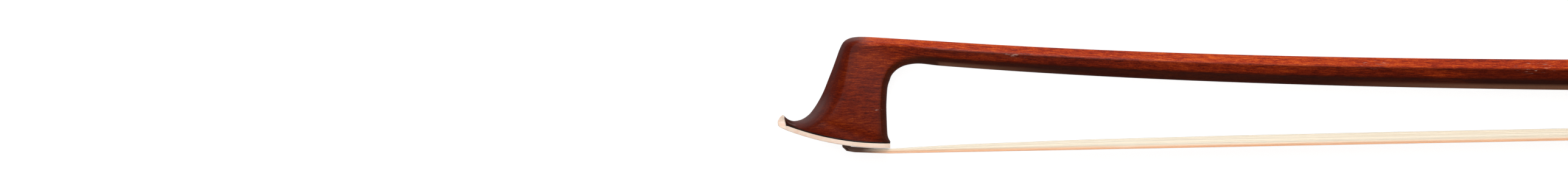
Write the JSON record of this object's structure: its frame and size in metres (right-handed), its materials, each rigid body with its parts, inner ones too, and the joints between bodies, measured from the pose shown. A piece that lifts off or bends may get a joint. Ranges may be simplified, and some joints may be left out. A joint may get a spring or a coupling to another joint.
{
  "type": "violin bow",
  "caption": "Violin bow: octagonal reddish stick with a carved head, hair ribbon, ebony frog sliding on the stick, and a screw button that draws the frog",
  "frame": {"origin": "under the middle of the bow's bounding box, on the surface that the bow lies on, on its side", "axes": "+X along the bow from the head to the button, +Y from the hair to the stick, +Z across the bow's thickness"},
  "size_m": [0.745, 0.0276, 0.0128],
  "materials": {
    "pernambuco": "polished",
    "ebony": "polished",
    "ivory": "polished, ivory-coloured",
    "maple": "bare",
    "horsehair": "rosined white horsehair",
    "thread": "waxed thread",
    "silver": "worn polish",
    "pearl": "mother of pearl",
    "brass": "turned",
    "steel": "turned",
    "leather": "smooth",
    "whalebone_dark": "satin",
    "whalebone_light": "satin"
  },
  "bodies": {
    "stick": {"stick": "pernambuco", "head_liner": "ebony", "head_plate": "ivory", "head_plug": "maple", "head_hair_knot": "thread", "hair": "horsehair", "winding_dark": "whalebone_dark", "winding_light": "whalebone_light", "thumb_leather": "leather"},
    "frog": {"frog": "ebony", "ferrule": "silver", "hair_wedge": "maple", "frog_plug": "maple", "frog_hair_knot": "thread", "slide_base": "ebony", "slide_pearl": "pearl", "underslide": "silver", "underslide_pin_front": "silver", "underslide_pin_rear": "silver", "heel_plate": "silver", "heel_pin_upper": "silver", "heel_pin_lower": "silver", "heel_pin_left": "silver", "heel_pin_right": "silver", "eye_pearl_left": "pearl", "eye_pearl_right": "pearl", "eye_ring_left": "silver", "eye_ring_right": "silver", "eyelet": "brass"},
    "button": {"screw": "steel", "button": "ebony", "button_front_ring": "silver", "button_rear_ring": "silver", "button_pearl": "pearl", "button_pin_front_left": "silver", "button_pin_front_right": "silver", "button_pin_rear_left": "silver", "button_pin_rear_right": "silver"}
  },
  "joints": [
    {"name": "button_turn", "type": "hinge", "parent": "stick", "child": "button", "pos_m": [0.3578, 0.00812, 0.0064], "axis": [-1, 0, 0], "range_deg": [-2160, 1440]},
    {"name": "frog_slide", "type": "slide", "parent": "stick", "child": "frog", "axis": [1, 0, 0], "range_m": [-0.0042, 0.0028], "deforming": ["hair"]}
  ],
  "couplings": [
    {"joint": "button_turn", "follows": "frog_slide", "rad_per_m": 8975.9}
  ]
}
